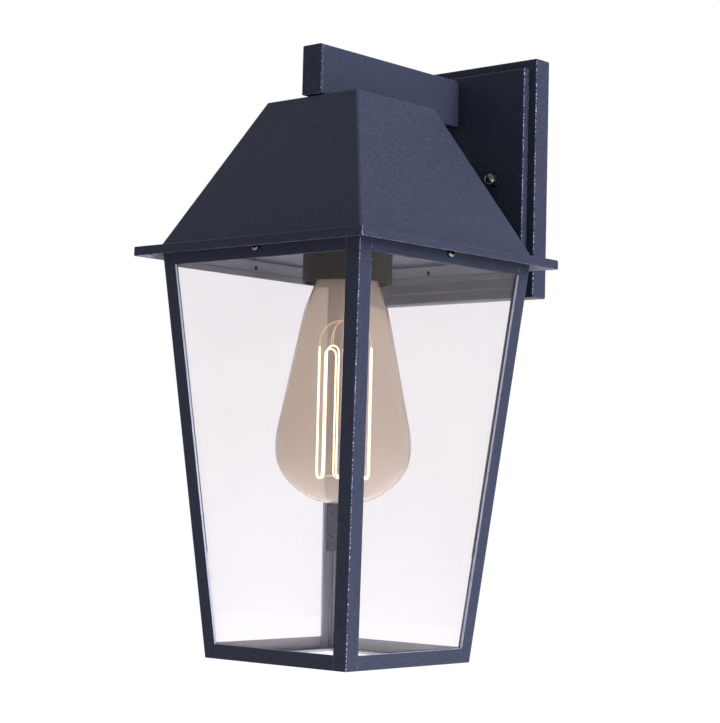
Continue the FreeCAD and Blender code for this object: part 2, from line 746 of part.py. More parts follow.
def make_retainer(label, turn):
    """A flat strip set across an inside corner, holding the edges of two panes."""
    body = new_body("Retainer")
    outline = new_sketch(body, "XY_Plane", "RetainerOutline", "-retainer_drop")
    glass_face = "(%s - cage_sheet - pane_thickness)" % cage_half("retainer_drop")
    step = "retainer_width / sqrt(2)"
    back = "retainer_sheet * sqrt(2)"
    add_outline(outline, [(glass_face, glass_face + " - " + step),
                          (glass_face + " - " + step, glass_face),
                          (glass_face + " - " + step + " - " + back, glass_face),
                          (glass_face, glass_face + " - " + step + " - " + back)])
    add_slanted_pad(body, outline, "retainer_drop - brim_flange_depth - pane_gap")
    finish(body, label, in_head=True, turn=turn)


def make_cage_screws():
    """Four round-headed screws, one in the middle of each side, from the cage into the brim."""
    screws = []
    head_face = cage_half("cage_screw_drop + cage_screw_head_radius")
    for turn in range(0, 360, 90):
        head = cylinder("CageScrewHead", "x", (cage_half("cage_screw_drop - cage_screw_head_radius"), "0",
                                               "-cage_screw_drop"),
                        "cage_screw_head_radius", "cage_screw_head_height")
        shank = cylinder("CageScrewShank", "x", (head_face + " - cage_screw_length", "0",
                                                 "-cage_screw_drop"),
                         "cage_screw_radius", "cage_screw_length + cage_screw_head_height")
        screw = joined("CageScrew", [head, shank])
        screw.Placement = Placement(Vector(), Rotation(Vector(0, 0, 1), turn))
        screws.append(screw)
    finish(grouped("CageScrews", screws), "cage_screws", in_head=True)


# ---- Socket --------------------------------------------------------------------------------------

SOCKET_TOP = "(%s - strap_height)" % STRAP_UNDERSIDE
SOCKET_BOTTOM = "(-cover_drop + socket_recess)"
BORE_ROOF = "(%s - socket_roof)" % SOCKET_TOP
SHELL_INNER = "(bulb_cap_radius + shell_gap)"
SOCKET_RADIUS = "(%s + shell_sheet + socket_wall)" % SHELL_INNER
COVER_RADIUS = "(%s + cover_gap + cover_sheet)" % SOCKET_RADIUS


def make_socket_cover():
    """The round cover over the socket: a plain cup hung mouth down on the nipple."""
    inner = COVER_RADIUS + " - cover_sheet"
    cover = turned("SocketCover", [
        ("nipple_radius", "cover_top"), (COVER_RADIUS, "cover_top"), (COVER_RADIUS, "-cover_drop"),
        (inner, "-cover_drop"), (inner, "cover_top - cover_sheet"),
        ("nipple_radius", "cover_top - cover_sheet")])
    finish(cover, "socket_cover", in_head=True)


def make_socket_strap():
    """The bent strap that hangs the socket from the nipple."""
    span = "strap_span / 2"
    width = "strap_width / 2"
    pieces = [box("StrapTop", "-" + span, span, "-" + width, width, STRAP_UNDERSIDE,
                  STRAP_UNDERSIDE + " + strap_sheet")]
    holes = [cylinder("StrapNippleHole", "z", ("0", "0", STRAP_UNDERSIDE), "nipple_radius", "strap_sheet")]
    foot_middle = "(strap_span / 2 - strap_width / 2)"
    for side in ("", "-"):
        leg_edges = sorted([side + "(strap_span / 2 - strap_sheet)", side + span], key=size)
        pieces.append(box("StrapLeg", leg_edges[0], leg_edges[1], "-" + width, width, SOCKET_TOP,
                          STRAP_UNDERSIDE))
        foot_edges = sorted([side + "(strap_span / 2 - strap_width)", side + span], key=size)
        pieces.append(box("StrapFoot", foot_edges[0], foot_edges[1], "-" + width, width, SOCKET_TOP,
                          SOCKET_TOP + " + strap_sheet"))
        holes.append(cylinder("StrapScrewHole", "z", (side + foot_middle, "0", SOCKET_TOP),
                              "socket_screw_radius", "strap_sheet"))
    finish(cut("SocketStrap", joined("StrapBlank", pieces), holes), "socket_strap", in_head=True)


def make_socket_body():
    """The porcelain body, bored for the screw shell and drilled for two screws and two leads."""
    shell_outer = SHELL_INNER + " + shell_sheet"
    blank = cylinder("PorcelainBlank", "z", ("0", "0", SOCKET_BOTTOM), SOCKET_RADIUS,
                     SOCKET_TOP + " - " + SOCKET_BOTTOM)
    tools = [cylinder("PorcelainBore", "z", ("0", "0", SOCKET_BOTTOM), shell_outer,
                      BORE_ROOF + " - " + SOCKET_BOTTOM)]
    foot_middle = "(strap_span / 2 - strap_width / 2)"
    for side in ("", "-"):
        tools.append(cylinder("PorcelainScrewHole", "z",
                              (side + foot_middle, "0", SOCKET_TOP + " - socket_screw_depth"),
                              "socket_screw_radius", "socket_screw_depth"))
        tools.append(cylinder("PorcelainLeadHole", "z", (side + "lead_spacing / 2", "0", BORE_ROOF),
                              "lead_radius", "socket_roof"))
    finish(cut("SocketBody", blank, tools), "socket_body", in_head=True)


def make_socket_screws():
    """Two screws through the strap's feet into the porcelain."""
    screws = []
    foot_middle = "(strap_span / 2 - strap_width / 2)"
    head_rise = SOCKET_TOP + " + strap_sheet"
    for side in ("", "-"):
        shank = cylinder("SocketScrewShank", "z",
                         (side + foot_middle, "0", SOCKET_TOP + " - socket_screw_depth"),
                         "socket_screw_radius", "socket_screw_depth + strap_sheet")
        head = cylinder("SocketScrewHead", "z", (side + foot_middle, "0", head_rise),
                        "socket_screw_head_radius", "socket_screw_head_height")
        screws.append(joined("SocketScrew", [shank, head]))
    finish(grouped("SocketScrews", screws), "socket_screws", in_head=True)


BULB_TIP = "(%s - contact_reach)" % BORE_ROOF


def make_socket_contacts():
    """The screw shell that takes the bulb's cap, and the sprung contact above it."""
    shell = ring("ScrewShell", SOCKET_BOTTOM, SHELL_INNER + " + shell_sheet", SHELL_INNER, "shell_height")
    finish(shell, "socket_shell", in_head=True)
    tab = cylinder("ContactTab", "z", ("0", "0", BULB_TIP), "contact_radius", "contact_sheet")
    post = cylinder("ContactPost", "z", ("0", "0", BULB_TIP), "contact_post_radius", "contact_reach")
    finish(joined("CentreContact", [tab, post]), "socket_contact", in_head=True)


# ---- Bulb ----------------------------------------------------------------------------------------

CAP_TOP = "(%s - bulb_contact_height - bulb_insulator_height)" % BULB_TIP
CAP_BOTTOM = "(%s - bulb_cap_length)" % CAP_TOP


def below_tip(drop):
    """Formula for a height on the bulb, from how far it lies below the button at the top."""
    return "(%s - %s)" % (BULB_TIP, drop)


def bulb_curve(inset):
    """The bulb's half outline from its neck to its tip, set in from the outside by the inset."""
    neck_radius = size("bulb_cap_radius - bulb_cap_sheet") - inset
    radius = size("bulb_radius") - inset
    belly = size(below_tip("bulb_belly_drop"))
    neck_top = Vector(neck_radius, 0, size(CAP_BOTTOM) + size("bulb_neck_grip"))
    neck_end = Vector(neck_radius, 0, size(CAP_BOTTOM))
    belly_rim = Vector(radius, 0, belly)
    tip = Vector(0, 0, size(below_tip("bulb_length")) + inset)
    neck, shoulder, side_top, side_low = [
        Vector(size(place + "_radius") - inset, 0, size(below_tip(place + "_drop")))
        for place in ("bulb_neck", "bulb_shoulder", "bulb_side_top", "bulb_side_low")]
    slope = (side_low - side_top).normalize()
    neck_curve = Part.BSplineCurve()
    neck_curve.interpolate([neck_end, neck, shoulder, side_top],
                           InitialTangent=Vector(0, 0, -1), FinalTangent=slope)
    belly_curve = Part.BSplineCurve()
    belly_curve.interpolate([side_low, belly_rim], InitialTangent=slope, FinalTangent=Vector(0, 0, -1))
    eighth = math.pi / 4
    dome_middle = Vector(radius * math.cos(eighth), 0, belly + (tip.z - belly) * math.sin(eighth))
    dome = Part.BSplineCurve()
    dome.interpolate([belly_rim, dome_middle, tip],
                     InitialTangent=Vector(0, 0, -1), FinalTangent=Vector(-1, 0, 0))
    curves = [neck_curve.toShape(), belly_curve.toShape(), dome.toShape()]
    lines = [Part.makeLine(neck_top, neck_end), Part.makeLine(side_top, side_low)]
    return neck_top, tip, lines + curves


def make_bulb_glass():
    """The bulb's blown glass, one even wall from its neck to its rounded end."""
    outer_top, outer_tip, outer_edges = bulb_curve(0)
    inner_top, inner_tip, inner_edges = bulb_curve(size("bulb_glass"))
    closing_edges = [Part.makeLine(outer_top, inner_top), Part.makeLine(outer_tip, inner_tip)]
    outline = Part.Wire(Part.__sortEdges__(outer_edges + inner_edges + closing_edges))
    glass = Part.Face(outline).revolve(Vector(), Vector(0, 0, 1), 360)
    finish(placed_shape("BulbGlass", glass), "bulb_glass", in_head=True)


def make_bulb_cap():
    """The screw cap, its black insulator and the button at its tip."""
    inner = "bulb_cap_radius - bulb_cap_sheet"
    shoulder = "bulb_cap_radius - bulb_cap_chamfer"
    cap = turned("BulbCap", [
        (inner, CAP_BOTTOM), ("bulb_cap_radius", CAP_BOTTOM),
        ("bulb_cap_radius", CAP_TOP + " - bulb_cap_chamfer"), (shoulder, CAP_TOP),
        ("bulb_cap_mouth_radius", CAP_TOP), ("bulb_cap_mouth_radius", CAP_TOP + " - bulb_cap_sheet"),
        (shoulder + " - bulb_cap_sheet", CAP_TOP + " - bulb_cap_sheet"),
        (inner, CAP_TOP + " - bulb_cap_chamfer - bulb_cap_sheet")])
    finish(cap, "bulb_cap", in_head=True)
    insulator_top = CAP_TOP + " + bulb_insulator_height"
    insulator = turned("BulbInsulator", [
        ("0", CAP_TOP), (shoulder, CAP_TOP), ("bulb_contact_radius", insulator_top),
        ("0", insulator_top)])
    finish(insulator, "bulb_insulator", in_head=True)
    button = turned("BulbButton", [
        ("0", insulator_top), ("bulb_contact_radius", insulator_top),
        ("bulb_contact_radius - bulb_contact_height", BULB_TIP), ("0", BULB_TIP)])
    finish(button, "bulb_contact", in_head=True)


def make_bulb_stem():
    """The glass stem inside the neck, with a thin rod and a bead that hold the filament."""
    rod_end = below_tip("stem_rod_drop")
    bead_end = rod_end + " - 2 * stem_bead_slope"
    stem = turned("BulbStem", [
        ("0", CAP_BOTTOM + " + bulb_cap_sheet"), ("stem_radius", CAP_BOTTOM + " + bulb_cap_sheet"),
        ("stem_radius", below_tip("stem_straight_drop")), ("stem_pinch_radius", below_tip("stem_drop")),
        ("stem_rod_radius", below_tip("stem_drop") + " - 2 * stem_bead_slope"),
        ("stem_rod_radius", rod_end), ("stem_bead_radius", rod_end + " - stem_bead_slope"),
        ("stem_rod_radius", bead_end), ("0", bead_end)])
    finish(stem, "bulb_stem", in_head=True)


def filament_point(half_turn, height):
    """A point on the filament's circle, one of two to each loop."""
    angle = math.pi * half_turn / FILAMENT_LOOPS
    radius = size("filament_radius")
    return Vector(radius * math.cos(angle), radius * math.sin(angle), height)


def make_filament():
    """One fine wire in upright loops round the stem, standing in a circle."""
    top = size(below_tip("filament_top_drop"))
    bottom = size(below_tip("filament_bottom_drop"))
    runs = 2 * FILAMENT_LOOPS - 1
    bend = (filament_point(1, 0) - filament_point(0, 0)).Length / 2
    edges = []
    for run in range(runs + 1):
        going_down = run % 2 == 0
        upper = filament_point(run, top - bend)
        lower = filament_point(run, bottom + bend)
        edges.append(Part.makeLine(upper, lower) if going_down else Part.makeLine(lower, upper))
        if run == runs:
            break
        start = lower if going_down else upper
        finish_point = filament_point(run + 1, start.z)
        middle = (start + finish_point) * 0.5
        middle.z = bottom if going_down else top
        edges.append(Part.Arc(start, middle, finish_point).toShape())
    path = Part.Wire(edges)
    section = Part.Wire(Part.Circle(filament_point(0, top - bend), Vector(0, 0, 1),
                                    size("filament_wire_radius")).toShape())
    filament = path.makePipeShell([section], True, True)
    finish(placed_shape("Filament", filament), "bulb_filament", in_head=True)


def make_filament_supports():
    """Fine wires from the stem: one to each bend of the filament and one to each of its ends."""
    wires = []
    radius = size("support_wire_radius")
    seat = size("stem_rod_radius / 2")
    bend_radius = (filament_point(1, 0) - filament_point(0, 0)).Length / 2
    end_height = size(below_tip("filament_top_drop")) - bend_radius
    end_reach = size("filament_radius - filament_wire_radius")
    for end in (0, 2 * FILAMENT_LOOPS - 1):
        outward = filament_point(end, 0).normalize()
        start = outward * seat + Vector(0, 0, end_height)
        wires.append(Part.makeCylinder(radius, end_reach - seat, start, outward))
    reach = end_reach * math.cos(math.pi / 2 / FILAMENT_LOOPS)
    for bend in range(2 * FILAMENT_LOOPS - 1):
        drop = "filament_bottom_drop" if bend % 2 == 0 else "filament_top_drop"
        angle = math.pi * (bend + 0.5) / FILAMENT_LOOPS
        outward = Vector(math.cos(angle), math.sin(angle), 0)
        start = outward * seat + Vector(0, 0, size(below_tip(drop)))
        wires.append(Part.makeCylinder(radius, reach - seat, start, outward))
    finish(placed_shape("FilamentSupports", Part.makeCompound(wires)), "filament_supports", in_head=True)


# ---- Leads ---------------------------------------------------------------------------------------

def make_lead(label, side):
    """One insulated lead: up from the socket through the nipple, along the arm, down in the plate."""
    across = side * size("lead_spacing") / 2
    axis_y = -size("lantern_reach")
    bend = size("lead_bend")
    end_bend = size("lead_end_bend")
    run_height = size(LEAD_RISE)
    start_height = size(HEAD_RISE + " + " + BORE_ROOF)
    plate_inside = -size(PLATE_FRONT + " - plate_sheet")
    tail_top = run_height - end_bend

    def corner_arc(begin, centre, end):
        """A quarter circle between two runs."""
        outward = (begin + end) * 0.5 - centre
        return Part.Arc(begin, centre + outward.normalize() * (begin - centre).Length, end).toShape()

    socket_end = Vector(across, axis_y, start_height)
    riser_top = Vector(across, axis_y, run_height - bend)
    run_start = Vector(across, axis_y + bend, run_height)
    run_end = Vector(across, plate_inside, run_height)
    tail_start = Vector(across, plate_inside + end_bend, tail_top)
    tail_end = tail_start - Vector(0, 0, size("lead_tail"))
    path = Part.Wire([
        Part.makeLine(socket_end, riser_top),
        corner_arc(riser_top, Vector(across, axis_y + bend, run_height - bend), run_start),
        Part.makeLine(run_start, run_end),
        corner_arc(run_end, Vector(across, plate_inside, tail_top), tail_start),
        Part.makeLine(tail_start, tail_end),
    ])
    section = Part.Wire(Part.Circle(socket_end, Vector(0, 0, 1), size("lead_radius")).toShape())
    lead = path.makePipeShell([section], True, False)
    expected = path.Length * math.pi * size("lead_radius") ** 2
    if abs(lead.Volume - expected) > 0.01 * expected:
        raise ValueError("the lead %s isn't one even tube" % label)
    finish(placed_shape("Lead", lead), label)


def make_leads():
    """Two leads, and the twist-on connectors that join them to the house wiring."""
    make_lead("lead_live", 1)
    make_lead("lead_neutral", -1)
    tail_y = "-(%s - plate_sheet - lead_end_bend)" % PLATE_FRONT
    bottom = "(%s - lead_end_bend - lead_tail - connector_length)" % LEAD_RISE
    connectors = [cylinder("Connector", "z", (side + "(connector_radius + connector_gap)", tail_y, bottom),
                           "connector_radius", "connector_length") for side in ("", "-")]
    finish(grouped("Connectors", connectors), "wire_connectors")


# ---- The whole lantern ---------------------------------------------------------------------------

make_wall_plate()
make_crossbar()
make_studs()
make_cap_nut("cap_nut_right", "")
make_cap_nut("cap_nut_left", "-")
make_ground_screw()
make_arm()
make_nipple_set()
make_roof()
make_brim()
for quarter, name in enumerate(CORNER_NAMES):
    make_leg("leg_" + name, 90 * quarter)
    make_retainer("retainer_" + name, 90 * quarter)
for quarter, name in enumerate(SIDE_NAMES):
    make_top_rail("top_rail_" + name, 90 * quarter)
    make_bottom_rail("bottom_rail_" + name, 90 * quarter)
    make_pane("pane_" + name, 90 * quarter)
make_cage_screws()
make_socket_cover()
make_socket_strap()
make_socket_body()
make_socket_screws()
make_socket_contacts()
make_bulb_glass()
make_bulb_cap()
make_bulb_stem()
make_filament()
make_filament_supports()
make_leads()
doc.recompute()

for item in doc.Objects:
    if "Invalid" in item.State or "Error" in item.State:
        raise ValueError("%s failed to compute" % item.Label)
for node in nodes:
    if node.Shape.isNull() or not node.Shape.isValid():
        raise ValueError("%s has no valid shape" % node.Label)
os.makedirs("parts", exist_ok=True)
for node in nodes:
    node.Shape.exportStep("parts/%s.step" % node.Label)
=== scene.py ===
"""Outdoor wall lantern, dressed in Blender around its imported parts, in metres, the wall at Y = 0."""
import math

import bmesh
import bpy
from mathutils import Matrix, Vector


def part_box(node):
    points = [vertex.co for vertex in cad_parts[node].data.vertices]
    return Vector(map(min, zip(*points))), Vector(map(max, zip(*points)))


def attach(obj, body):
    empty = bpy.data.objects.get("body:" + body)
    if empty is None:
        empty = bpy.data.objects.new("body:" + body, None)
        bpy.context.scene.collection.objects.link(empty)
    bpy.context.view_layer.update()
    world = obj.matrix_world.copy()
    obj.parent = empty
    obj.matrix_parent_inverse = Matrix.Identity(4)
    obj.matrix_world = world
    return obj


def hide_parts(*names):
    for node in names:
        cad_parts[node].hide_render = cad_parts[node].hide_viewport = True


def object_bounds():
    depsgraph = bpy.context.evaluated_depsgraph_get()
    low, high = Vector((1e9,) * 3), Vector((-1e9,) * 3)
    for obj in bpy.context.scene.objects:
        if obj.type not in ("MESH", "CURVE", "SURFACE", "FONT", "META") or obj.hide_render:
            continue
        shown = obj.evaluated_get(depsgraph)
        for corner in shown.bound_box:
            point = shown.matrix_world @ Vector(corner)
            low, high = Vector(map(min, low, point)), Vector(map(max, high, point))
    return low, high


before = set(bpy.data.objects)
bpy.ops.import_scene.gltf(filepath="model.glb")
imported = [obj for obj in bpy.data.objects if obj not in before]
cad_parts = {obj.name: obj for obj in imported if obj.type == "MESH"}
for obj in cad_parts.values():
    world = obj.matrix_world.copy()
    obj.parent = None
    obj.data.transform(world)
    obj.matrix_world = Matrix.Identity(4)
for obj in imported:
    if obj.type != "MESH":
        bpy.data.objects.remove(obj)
cad_low, cad_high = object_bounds()
MM = 0.001


# ---- Camera --------------------------------------------------------------------------------------
# A long lens below the lantern's middle and to its right, looking slightly up and tipped a little to
# one side, so that two faces of the cage and the underside of the brim show.

brim_low, brim_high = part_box("brim")
head_middle = Vector(((brim_low.x + brim_high.x) / 2, (brim_low.y + brim_high.y) / 2, brim_high.z))
camera_bearing = math.radians(41.13)
camera_climb = math.radians(-3.876)
camera_roll = math.radians(1.39)
camera_distance = 941.8 * MM
aim_aside = 7.2 * MM
aim_drop = 52.24 * MM
camera_lens_mm = 97.07
camera_sensor_mm = 36

sideways = Vector((math.cos(camera_bearing), math.sin(camera_bearing), 0))
backwards = Vector((math.sin(camera_bearing) * math.cos(camera_climb),
                    -math.cos(camera_bearing) * math.cos(camera_climb),
                    math.sin(camera_climb)))
camera = bpy.data.objects.new("camera", bpy.data.cameras.new("camera"))
camera.data.lens = camera_lens_mm
camera.data.sensor_width = camera_sensor_mm
camera.data.clip_start = 10 * MM
camera.matrix_world = (
    Matrix.Translation(head_middle + sideways * aim_aside - Vector((0, 0, aim_drop))
                       + backwards * camera_distance)
    @ Matrix.Rotation(camera_bearing, 4, "Z")
    @ Matrix.Rotation(math.pi / 2 - camera_climb, 4, "X")
    @ Matrix.Rotation(camera_roll, 4, "Z"))
bpy.context.scene.collection.objects.link(camera)
bpy.context.scene.camera = camera
bpy.context.scene.view_settings.view_transform = "Standard"


# ---- Studio --------------------------------------------------------------------------------------
# A white room with a plain pale floor well below the lantern, which hangs on its wall box.
# Two large soft lights, one to the right that models the right-hand faces and one overhead, are
# hidden from reflections and from behind glass, where they would show as hard bright rectangles.

def linear(colour):
    """An sRGB hex colour such as "#8090a0" as linear red, green, blue and alpha."""
    channels = [int(colour[start:start + 2], 16) / 255 for start in (1, 3, 5)]
    return [c / 12.92 if c <= 0.04045 else ((c + 0.055) / 1.055) ** 2.4 for c in channels] + [1.0]


def add_node(tree, kind, settings=None, values=None, links=None):
    """Add a node to a tree: its settings, the values of its inputs, and what feeds its inputs."""
    node = tree.nodes.new(kind)
    for name, setting in (settings or {}).items():
        setattr(node, name, setting)
    for socket, value in (values or {}).items():
        node.inputs[socket].default_value = value
    for socket, source in (links or {}).items():
        tree.links.new(source, node.inputs[socket])
    return node


def new_material(name):
    """An empty material, its node tree, and the object coordinates that its patterns follow."""
    material = bpy.data.materials.new(name)
    material.use_nodes = True
    material.node_tree.nodes.clear()
    place = add_node(material.node_tree, "ShaderNodeTexCoord").outputs["Object"]
    return material, material.node_tree, place


def add_noise(tree, place, grain_size, detail=2.0):
    """A noise pattern whose grains are about as large as the size given."""
    return add_node(tree, "ShaderNodeTexNoise", values={"Scale": 1 / grain_size, "Detail": detail},
                    links={"Vector": place}).outputs["Fac"]


def blend_colours(tree, factor, first, second):
    """A colour between two hex colours, by a factor."""
    return add_node(tree, "ShaderNodeMix", {"data_type": "RGBA"}, {6: linear(first), 7: linear(second)},
                    {"Factor": factor}).outputs[2]


def show(tree, values, links):
    """Finish a material with one surface shader."""
    shader = add_node(tree, "ShaderNodeBsdfPrincipled", values=values, links=links)
    add_node(tree, "ShaderNodeOutputMaterial", links={"Surface": shader.outputs["BSDF"]})


def new_object(name, mesh):
    """Put a mesh into the scene at the origin."""
    made = bpy.data.objects.new(name, mesh)
    bpy.context.scene.collection.objects.link(made)
    return made


room = bpy.data.worlds.new("white_room")
room.use_nodes = True
room.node_tree.nodes["Background"].inputs["Color"].default_value = linear("#ffffff")
room.node_tree.nodes["Background"].inputs["Strength"].default_value = 1.0
bpy.context.scene.world = room

floor_drop = 500 * MM
floor_half = 6000 * MM
floor_cloud = 125 * MM
floor_mesh = bpy.data.meshes.new("floor")
floor_height = cad_low.z - floor_drop
floor_mesh.from_pydata([(-floor_half, -floor_half, floor_height), (floor_half, -floor_half, floor_height),
                        (floor_half, floor_half, floor_height), (-floor_half, floor_half, floor_height)],
                       [], [(0, 1, 2, 3)])
floor_paint, tree, place = new_material("matt_white_floor_paint")
show(tree, {"Roughness": 0.9, "Specular IOR Level": 0.1},
     {"Base Color": blend_colours(tree, add_noise(tree, place, floor_cloud), "#fafafa", "#fefefe")})
floor_mesh.materials.append(floor_paint)
floor = new_object("floor", floor_mesh)


def add_soft_light(name, place, width, height, power, colour):
    """A rectangular soft light facing the lantern's head, placed from it in metres, with its watts."""
    light = bpy.data.lights.new(name, "AREA")
    light.shape = "RECTANGLE"
    light.size = width
    light.size_y = height
    light.energy = power
    light.color = linear(colour)[:3]
    holder = bpy.data.objects.new(name, light)
    holder.location = head_middle + Vector(place)
    holder.rotation_euler = (-Vector(place)).to_track_quat("-Z", "Y").to_euler()
    holder.visible_glossy = False
    holder.visible_transmission = False
    bpy.context.scene.collection.objects.link(holder)


add_soft_light("side_light", place=(2.4, 0.15, 0.9), width=1.2, height=2.2, power=440, colour="#fdf9ff")
add_soft_light("top_light", place=(-0.3, -0.5, 1.6), width=1.4, height=1.4, power=10, colour="#ffffff")


# ---- Powder-coated sheet metal -------------------------------------------------------------------
# Wall plate, arm, roof, brim, legs and rails: pressed and folded steel sheet, welded and powder
# coated. The cured powder leaves a fine leathery grain. Bright specks along sharp edges and folds are
# painted highlights. Grain and specks are drawn about twice as coarse as real ones, which are too fine to
# show.

powder_grain = 0.75 * MM
powder_peel = 2.6 * MM
powder_relief = 0.05 * MM
powder_speck = 0.55 * MM
powder_edge = 0.45 * MM
fold_onset = 0.4
fold_full = 0.47
edge_onset = 0.93
edge_full = 0.8
speck_onset = 0.54
speck_full = 0.64
inner_height = -40 * MM
inner_reach = 2 * MM


def scaled(tree, number, low, high, to_low=0.0, to_high=1.0):
    """A number stretched from one range to another, and held inside it."""
    return add_node(tree, "ShaderNodeMapRange",
                    values={"From Min": low, "From Max": high, "To Min": to_low, "To Max": to_high},
                    links={"Value": number}).outputs["Result"]


def add_math(tree, operation, first, second):
    """A maths node on two numbers, each a value or an output."""
    node = add_node(tree, "ShaderNodeMath", {"operation": operation})
    for index, number in enumerate((first, second)):
        if isinstance(number, (int, float)):
            node.inputs[index].default_value = number
        else:
            tree.links.new(number, node.inputs[index])
    return node.outputs[0]


def find_folds(tree, normal):
    """How much a face belongs to an upright fold, whose normal lies between two of the sides."""
    axes = add_node(tree, "ShaderNodeSeparateXYZ", links={"Vector": normal}).outputs
    across = add_math(tree, "MULTIPLY", axes["X"], axes["Y"])
    return scaled(tree, add_math(tree, "ABSOLUTE", across, 0.0), fold_onset, fold_full)


def find_edges(tree, normal):
    """How much a face lies beside a sharp edge, where a rounded copy of its normal turns away."""
    rounded = add_node(tree, "ShaderNodeBevel", {"samples": 4}, {"Radius": powder_edge}).outputs["Normal"]
    straightness = add_node(tree, "ShaderNodeVectorMath", {"operation": "DOT_PRODUCT"},
                            links={0: rounded, 1: normal}).outputs["Value"]
    return scaled(tree, straightness, edge_onset, edge_full)


def find_inside(tree, place, normal):
    """How much a face looks towards a point on the head's axis, which takes in the brim's top face."""
    from_point = add_node(tree, "ShaderNodeVectorMath", {"operation": "SUBTRACT"},
                          {1: (0, head_middle.y, inner_height)}, {0: place}).outputs["Vector"]
    facing = add_node(tree, "ShaderNodeVectorMath", {"operation": "DOT_PRODUCT"},
                      links={0: from_point, 1: normal}).outputs["Value"]
    return scaled(tree, facing, 0.0, -inner_reach)


def new_powder_coat(name, dark, light, highlight_colour, lit_inside_colours=None):
    """Textured powder coat: grain in two shades, a leathery relief, and painted highlight specks on edges
    and folds.
    """
    material, tree, place = new_material(name)
    normal = add_node(tree, "ShaderNodeNewGeometry").outputs["Normal"]
    grain = add_noise(tree, place, powder_grain, 3.0)
    peel = add_noise(tree, place, powder_peel)
    shades = scaled(tree, grain, 0.35, 0.65)
    coat = blend_colours(tree, shades, dark, light)
    # Inner faces get a paler coat: painted light for the light that the head's inside catches.
    if lit_inside_colours:
        painted_inside_light = blend_colours(tree, shades, *lit_inside_colours)
        coat = add_node(tree, "ShaderNodeMix", {"data_type": "RGBA"},
                        links={"Factor": find_inside(tree, place, normal), 6: coat, 7: painted_inside_light}).outputs[2]
    # Bright specks on edges and folds are painted highlights: the glints the textured coat catches there.
    specks = scaled(tree, add_noise(tree, place, powder_speck, 1.0), speck_onset, speck_full)
    highlight_mask = add_math(tree, "MAXIMUM", find_folds(tree, normal), find_edges(tree, normal))
    painted_highlights = add_math(tree, "MULTIPLY", highlight_mask, specks)
    coat_and_highlights = add_node(tree, "ShaderNodeMix", {"data_type": "RGBA"}, {7: linear(highlight_colour)},
                              {"Factor": painted_highlights, 6: coat}).outputs[2]
    relief = add_math(tree, "ADD", grain, peel)
    bumps = add_node(tree, "ShaderNodeBump", values={"Strength": 0.5, "Distance": powder_relief},
                     links={"Height": relief})
    show(tree, {"Specular IOR Level": 0.1, "Specular Tint": linear("#ccd0ff")},
         {"Base Color": coat_and_highlights, "Roughness": scaled(tree, peel, 0, 1, 0.42, 0.6),
          "Normal": bumps.outputs["Normal"]})
    return material


def finish_parts(material, *names):
    """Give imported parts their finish."""
    for name in names:
        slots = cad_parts[name].data.materials
        for index in range(len(slots)):
            slots[index] = material


SIDES = ("front", "right", "rear", "left")
CORNERS = ("front_left", "front_right", "rear_left", "rear_right")
# The head's inner faces are painted pale to stand in for light they catch, and the pane clips wear a lighter
# graphite.
powder_coat = new_powder_coat("charcoal_textured_powder_coat", "#0e1118", "#191c27", "#686c7c")
head_coat = new_powder_coat("charcoal_powder_coat_painted_light_inside", "#0e1118", "#191c27", "#686c7c",
                            ("#7f828f", "#8c8f9c"))
clip_coat = new_powder_coat("graphite_powder_coat", "#38393f", "#424349", "#6c7080")
finish_parts(powder_coat, "wall_plate", "arm_tube", "arm_end_cap")
finish_parts(head_coat, "roof_shell", "brim")
finish_parts(head_coat, *("leg_" + corner for corner in CORNERS))
finish_parts(clip_coat, *("retainer_" + corner for corner in CORNERS))
finish_parts(head_coat, *("top_rail_" + side for side in SIDES))
finish_parts(head_coat, *("bottom_rail_" + side for side in SIDES))


# ---- Crossbar, studs and nuts --------------------------------------------------------------------
# A pressed steel crossbar that screws to the wall box, two studs run in from its front and locked
# with hexagon nuts. All are zinc plated, a dull silver with cloudy patches from the bath.

zinc_cloud = 6 * MM
zinc_grain = 0.6 * MM
zinc_relief = 0.02 * MM

zinc, tree, place = new_material("zinc_plated_steel")
cloud = add_noise(tree, place, zinc_cloud)
zinc_gloss = scaled(tree, cloud, 0, 1, 0.28, 0.5)
zinc_bumps = add_node(tree, "ShaderNodeBump", values={"Strength": 0.3, "Distance": zinc_relief},
                      links={"Height": add_noise(tree, place, zinc_grain)})
show(tree, {"Metallic": 1.0},
     {"Base Color": blend_colours(tree, cloud, "#8f9396", "#a9aca9"),
      "Roughness": zinc_gloss, "Normal": zinc_bumps.outputs["Normal"]})
finish_parts(zinc, "mounting_crossbar", "stud_lock_nuts")


def new_tree(name, sizes):
    """A Geometry Nodes tree with a named input for each size, and its input node's outputs."""
    tree = bpy.data.node_groups.new(name, "GeometryNodeTree")
    tree.interface.new_socket("Geometry", in_out="INPUT", socket_type="NodeSocketGeometry")
    for size_name in sizes:
        tree.interface.new_socket(size_name, in_out="INPUT", socket_type="NodeSocketFloat")
    tree.interface.new_socket("Geometry", in_out="OUTPUT", socket_type="NodeSocketGeometry")
    return tree, add_node(tree, "NodeGroupInput").outputs


def finish_tree(tree, geometry, material):
    """End a tree: instances made real, and the material set."""
    real = add_node(tree, "GeometryNodeRealizeInstances", links={"Geometry": geometry})
    painted = add_node(tree, "GeometryNodeSetMaterial", values={"Material": material},
                       links={"Geometry": real.outputs["Geometry"]})
    add_node(tree, "NodeGroupOutput", links={"Geometry": painted.outputs["Geometry"]})


def grow(tree, base, sizes):
    """The plain mesh that a tree makes of a base mesh or curve, with its sizes by name."""
    holder = bpy.data.objects.new(tree.name, base)
    bpy.context.scene.collection.objects.link(holder)
    modifier = holder.modifiers.new(tree.name, "NODES")
    modifier.node_group = tree
    for socket in tree.interface.items_tree:
        if socket.name in sizes:
            modifier[socket.identifier] = sizes[socket.name]
    graph = bpy.context.evaluated_depsgraph_get()
    mesh = bpy.data.meshes.new_from_object(holder.evaluated_get(graph), depsgraph=graph)
    holder.modifiers.remove(modifier)
    bpy.data.objects.remove(holder)
    return mesh


